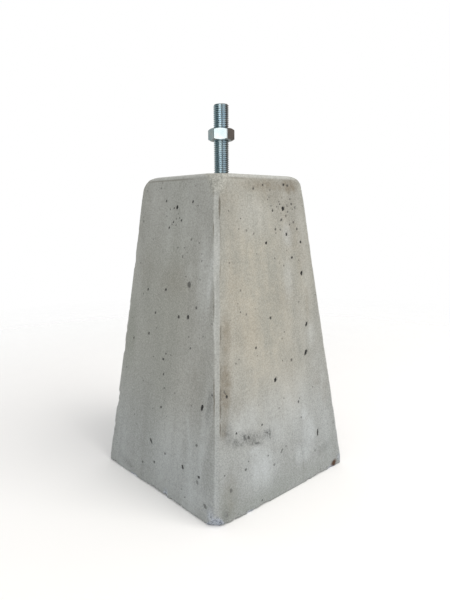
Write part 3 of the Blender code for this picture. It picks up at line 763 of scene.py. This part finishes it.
def buildRod(finish):
    # the radius follows the thread: the place along a turn is z / pitch - angle / a full turn, and the radius
    # climbs from a flat root to a flat crest and back once in each whole number of it
    s = rodSizes
    angle = np.arange(s["columns"]) / s["columns"] * 2 * np.pi
    plain = np.linspace(s["bottom"], s["threadStart"], 12)[:-1]
    count = int((s["tip"] - s["threadStart"]) / s["pitch"] * s["rowsPerPitch"])
    z = np.concatenate([plain, np.linspace(s["threadStart"], s["tip"], count)])[:, None]
    place = z / s["pitch"] - angle / (2 * np.pi)
    apart = np.abs(2 * (place % 1) - 1)
    climb = np.clip((apart - 0.20) / 0.66, 0, 1)
    climb = climb * 0.55 + climb * climb * (3 - 2 * climb) * 0.45
    cut = s["depth"] * (1 - climb) * easeBetween(z, s["threadStart"], s["threadStart"] + 0.001)
    radius = np.minimum(s["radius"] - cut, s["radius"] - np.clip(z - (s["tip"] - s["tipChamfer"]), 0, 1))
    grid = np.stack([radius * np.cos(angle), radius * np.sin(angle), z + 0 * angle], -1)
    wear = layeredNoise(grid, 0.006, 71)
    grid[..., :2] *= (1 - 0.004 * np.clip(wear, 0, 1))[..., None]
    # the roots get the darker tone: partly grime, partly painted shade where light is trapped between the
    # threads
    root = easeBetween(1 - climb, 0.20, 0.85) * (z > s["threadStart"])
    rings = np.array([0.97, 0.75, 0.5, 0.2])[:, None]
    end = np.stack([rings * grid[-1, :, 0], rings * grid[-1, :, 1], s["tip"] + 0 * rings * angle], -1)
    start = end[::-1] * np.array([1, 1, 0]) + np.array([0, 0, s["bottom"]])
    grid = np.concatenate([start, grid, end])
    calm = np.zeros((4, s["columns"]))
    marks = {"root": np.concatenate([calm, root, calm])}
    return makePiece("threadedRod", grid, finish, marks=marks, sharpAngle=50)


nutSizes = {
    "underside": 0.4468,
    "top": 0.4618,
    "flat": 0.0150,
    "faceRing": 0.0141,
    "bore": 0.0103,
    "sink": 0.0006,
    "firstFlat": -45.0,  # the direction that one flat looks in
    "chamfer": 30.0,
    "columns": 216,
    "rows": (10, 14, 44, 14, 10, 26),  # ring, chamfer, flat, chamfer, ring, bore
}


def buildNut(finish):
    # round the nut its radius is flat / cos(angle from the middle of a flat); the profile runs out along the
    # lower ring, up a cone, up the flat, in along the upper cone and ring, and down the bore
    s = nutSizes
    angle = np.arange(s["columns"]) / s["columns"] * 2 * np.pi
    fromFlat = (angle - math.radians(s["firstFlat"]) + np.pi / 6) % (np.pi / 3) - np.pi / 6
    hexagon = s["flat"] / np.cos(fromFlat)
    hexagon = (np.roll(hexagon, 1) + 2 * hexagon + np.roll(hexagon, -1)) / 4
    rise = (hexagon - s["faceRing"]) * math.tan(math.radians(s["chamfer"]))
    same = np.ones_like(angle)
    low, high, mouth = s["underside"], s["top"], s["bore"] + s["sink"]
    stops = [
        (mouth * same, low * same), (s["faceRing"] * same, low * same),
        (hexagon, low + rise), (hexagon, high - rise),
        (s["faceRing"] * same, high * same), (mouth * same, high * same),
        (s["bore"] * same, (high - s["sink"]) * same), (s["bore"] * same, (low + s["sink"]) * same),
    ]
    counts = s["rows"][:5] + (3, s["rows"][5], 3)
    radius, z = [], []
    for (r0, z0), (r1, z1), count in zip(stops, stops[1:] + stops[:1], counts):
        step = (np.arange(count) / count)[:, None]
        radius.append(r0 + (r1 - r0) * step)
        z.append(z0 + (z1 - z0) * step)
    radius, z = np.concatenate(radius), np.concatenate(z)
    for _ in range(2):  # soften every edge a little
        radius = (np.roll(radius, 1, 0) + 2 * radius + np.roll(radius, -1, 0)) / 4
        z = (np.roll(z, 1, 0) + 2 * z + np.roll(z, -1, 0)) / 4
    grid = np.stack([radius * np.cos(angle), radius * np.sin(angle), z], -1)
    # the bore gets the darker tone: partly grime, partly painted shade in the recess
    inner = 1 - easeBetween(radius, s["bore"], mouth + 0.0004)
    return makePiece("hexNut", grid, finish, looped=True, marks={"inner": inner}, sharpAngle=40)


concrete = concreteFinish(concreteTones)
rodZinc = zincFinish("zincRod", rodTones, "root", 0.49, 0.12)
nutZinc = zincFinish("zincNut", nutTones, "inner", 0.30, 0.20)
print("finishes made")

block = buildBlock(concrete)
rod = buildRod(rodZinc)
nut = buildNut(nutZinc)
for piece, body, node, slotName in (
    (block, "base", "concrete_block", "concrete"),
    (rod, "base", "threaded_rod", "zinc_plated_steel"),
    (nut, "nut", "hex_nut", "zinc_plated_steel"),
):
    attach(piece, body)
    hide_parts(node)
print("pieces set on their bodies")


# Floor, light and camera

stageLook = {
    "floorReach": 2.6,
    "floorFade": (0.30, 1.5),  # how far from the block the floor melts into the backdrop
    "floorTone": colour(0.90, 0.90, 0.90),
    "floorToneLight": colour(0.92, 0.92, 0.92),
    "backdrop": colour(1.0, 1.0, 1.0),
    "ambient": colour(1.0, 0.99, 0.985),
    "ambientStrength": 0.745,
    "reflectionFront": colour(2.12, 2.17, 2.10),
    "reflectionSide": colour(1.15, 1.21, 1.22),
    "reflectionLift": 0.5,  # how much brighter the front panel gets straight above and below
    "reflectionLeft": colour(0.51, 0.55, 0.53),
    "reflectionNearLeft": colour(0.18, 0.24, 0.24),
    "reflectionRight": colour(0.225, 0.178, 0.148),
    "frontAzimuth": -19,  # where each panel's middle stands, round from the camera's side
    "sideAzimuth": 50,
    "nearLeftAzimuth": -76,
    "keyTarget": 0.22,  # the height on the axis that the key light points at
    # azimuth and elevation from the block, distance, width, height, watts, colour
    "key": (58.0, 50.0, 2.6, 1.8, 1.8, 46.4, (1.0, 0.965, 0.92)),
}


def makeFloor():
    # a flat square at z = 0, with a faint unevenness of tone, which turns clear towards its rim
    material, shader, place = newFinish("paleFloor", 0.0, 0.7)
    feed(shader, place.noise(3.0).tint(stageLook["floorTone"], stageLook["floorToneLight"]), "Base Color")
    away = place.node("ShaderNodeVectorMath", {"operation": "LENGTH"}, {0: place}, "Value")
    feed(shader, 1 - away.eased(*stageLook["floorFade"]), "Alpha")
    reach = stageLook["floorReach"]
    mesh = bpy.data.meshes.new("floor")
    corners = [(-reach, -reach, 0), (reach, -reach, 0), (reach, reach, 0), (-reach, reach, 0)]
    mesh.from_pydata(corners, [], [(0, 1, 2, 3)])
    mesh.materials.append(material)
    floor = bpy.data.objects.new("floor", mesh)
    bpy.context.scene.collection.objects.link(floor)
    floor.visible_glossy = False  # the steel mirrors the soft room alone


cameraLook = {
    "azimuth": 48.18,  # how far round from the -Y side, towards +X
    "distance": 0.6995,  # from the rod's axis
    "height": 0.3583,
    "yaw": 0.255,
    "pitch": -9.894,
    "roll": -0.465,
    "lens": 31.0,
}


def sight(azimuth, elevation):
    # the direction from the block towards a place that far round from the camera's side and that far up
    turn = math.radians(cameraLook["azimuth"] + azimuth)
    tilt = math.radians(elevation)
    return np.array([math.sin(turn) * math.cos(tilt), -math.cos(turn) * math.cos(tilt), math.sin(tilt)])


def makeWorld():
    # camera rays see the plain backdrop, diffuse rays an even sky, and glossy rays a soft room: upright light
    # panels in front of the object and on its right, grey on its left and dark behind the right-hand panel
    world = bpy.data.worlds.new("studio")
    bpy.context.scene.world = world
    world.use_nodes = True
    tree = world.node_tree
    background = tree.nodes["Background"]
    way = Signal(tree, None).node("ShaderNodeTexCoord", {}, {}, "Generated")
    rise = way.node("ShaderNodeSeparateXYZ", {}, {0: way}, "Z")
    flattened = {0: way.stretched(1.0, 1.0, 0.16)}
    way = way.node("ShaderNodeVectorMath", {"operation": "NORMALIZE"}, flattened, "Vector")
    dot = {"operation": "DOT_PRODUCT"}
    azimuths = (90, stageLook["frontAzimuth"], stageLook["sideAzimuth"], stageLook["nearLeftAzimuth"])
    toRight, toFront, toSide, toLeft = (
        way.node("ShaderNodeVectorMath", dot, {0: way, 1: tuple(sight(azimuth, 0))}, "Value")
        for azimuth in azimuths
    )
    room = toRight.eased(-0.55, 0.55).tint(stageLook["reflectionLeft"], stageLook["reflectionRight"])
    room = toSide.eased(0.82, 0.95).tint(room, stageLook["reflectionSide"])
    room = toLeft.eased(0.72, 0.90).tint(room, stageLook["reflectionNearLeft"])
    panel = rise * rise * stageLook["reflectionLift"] + 1.0
    scaled = {0: stageLook["reflectionFront"][:3], "Scale": panel}
    panel = way.node("ShaderNodeVectorMath", {"operation": "SCALE"}, scaled, "Vector")
    room = toFront.eased(0.905, 0.97).tint(room, panel)
    camera = way.node("ShaderNodeLightPath", {}, {}, "Is Camera Ray")
    diffuse = way.node("ShaderNodeLightPath", {}, {}, "Is Diffuse Ray")
    strength = stageLook["ambientStrength"]
    sky = tuple(part * strength for part in stageLook["ambient"][:3]) + (1.0,)
    seen = camera.tint(diffuse.tint(room, sky), stageLook["backdrop"])
    tree.links.new(seen.socket, background.inputs["Color"])


def makeLight(name, azimuth, elevation, distance, width, height, watts, tone):
    data = bpy.data.lights.new(name, "AREA")
    data.shape = "RECTANGLE"
    data.size, data.size_y = width, height
    data.energy = watts
    data.color = tone
    light = bpy.data.objects.new(name, data)
    toLight = sight(azimuth, elevation)
    target = np.array([0.0, 0.0, stageLook["keyTarget"]])
    back = toLight / np.linalg.norm(toLight)
    right = np.cross([0.0, 0.0, 1.0], back)
    right = right / np.linalg.norm(right)
    up = np.cross(back, right)
    matrix = np.eye(4)
    matrix[:3, 0], matrix[:3, 1], matrix[:3, 2], matrix[:3, 3] = right, up, back, target + toLight * distance
    light.matrix_world = Matrix(matrix.tolist())
    light.visible_camera = False
    light.visible_glossy = False
    bpy.context.scene.collection.objects.link(light)


def makeCamera():
    # placed by the angles above: right, up and back are the camera's own axes
    s = cameraLook
    yaw, pitch, roll = (math.radians(s[key]) for key in ("yaw", "pitch", "roll"))
    forward = np.array([math.sin(yaw) * math.cos(pitch), math.cos(yaw) * math.cos(pitch), math.sin(pitch)])
    right = np.array([math.cos(yaw), -math.sin(yaw), 0.0])
    up = np.cross(right, forward)
    right, up = right * math.cos(roll) + up * math.sin(roll), up * math.cos(roll) - right * math.sin(roll)
    turn = math.radians(s["azimuth"])
    spin = np.array([[math.cos(turn), -math.sin(turn), 0], [math.sin(turn), math.cos(turn), 0], [0, 0, 1]])
    matrix = np.eye(4)
    matrix[:3, 0], matrix[:3, 1], matrix[:3, 2] = spin @ right, spin @ up, spin @ -forward
    matrix[:3, 3] = spin @ np.array([0.0, -s["distance"], s["height"]])
    data = bpy.data.cameras.new("camera")
    data.sensor_width = 36.0
    data.lens = s["lens"]
    camera = bpy.data.objects.new("camera", data)
    camera.matrix_world = Matrix(matrix.tolist())
    bpy.context.scene.collection.objects.link(camera)
    bpy.context.scene.camera = camera


makeFloor()
makeWorld()
makeLight("key", *stageLook["key"])
makeCamera()
bpy.context.scene.view_settings.view_transform = "Standard"
print("floor, lights and camera set")
